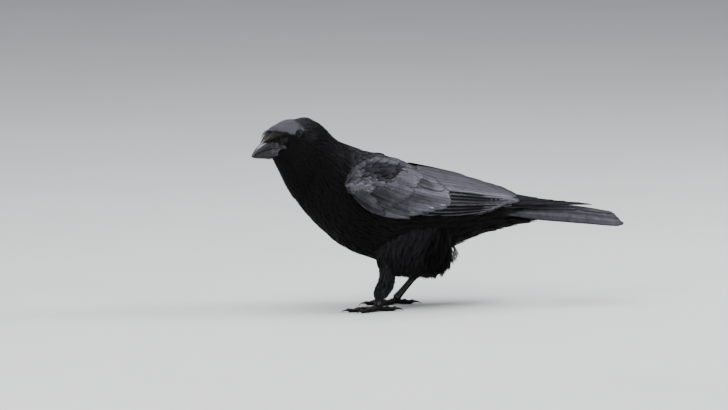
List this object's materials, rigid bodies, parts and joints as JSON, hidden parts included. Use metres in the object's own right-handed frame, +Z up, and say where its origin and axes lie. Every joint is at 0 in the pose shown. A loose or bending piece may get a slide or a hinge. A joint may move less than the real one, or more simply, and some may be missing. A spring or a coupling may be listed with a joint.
{
  "type": "carrion crow",
  "caption": "Life-size black crow standing on both feet, its left foot a step ahead and its head turned to its left.",
  "frame": {"origin": "on the floor, under the middle of the bounding box", "axes": "-X the way the body faces, -Y the bird's left side, +Z up"},
  "size_m": [0.464, 0.1184, 0.2332],
  "materials": {
    "plumage": "matte black body feathers",
    "flight_feathers": "black feathers with a purple-grey sheen",
    "bill_horn": "satin grey-black horn",
    "eye": "wet, very dark brown",
    "leg_scales": "black scaly skin",
    "claw_horn": "satin black horn"
  },
  "bodies": {
    "root": {"head": "plumage", "neck": "plumage", "trunk": "plumage", "bill_upper": "bill_horn", "bill_lower": "bill_horn", "eye_left": "eye", "eye_right": "eye", "wing_left": "flight_feathers", "wing_right": "flight_feathers", "tail": "flight_feathers", "thigh_left": "plumage", "thigh_right": "plumage", "tarsus_left": "leg_scales", "tarsus_right": "leg_scales", "toe_left_1": "leg_scales", "claw_left_1": "claw_horn", "toe_left_2": "leg_scales", "claw_left_2": "claw_horn", "toe_left_3": "leg_scales", "claw_left_3": "claw_horn", "toe_left_4": "leg_scales", "claw_left_4": "claw_horn", "toe_right_1": "leg_scales", "claw_right_1": "claw_horn", "toe_right_2": "leg_scales", "claw_right_2": "claw_horn", "toe_right_3": "leg_scales", "claw_right_3": "claw_horn", "toe_right_4": "leg_scales", "claw_right_4": "claw_horn"}
  },
  "joints": []
}
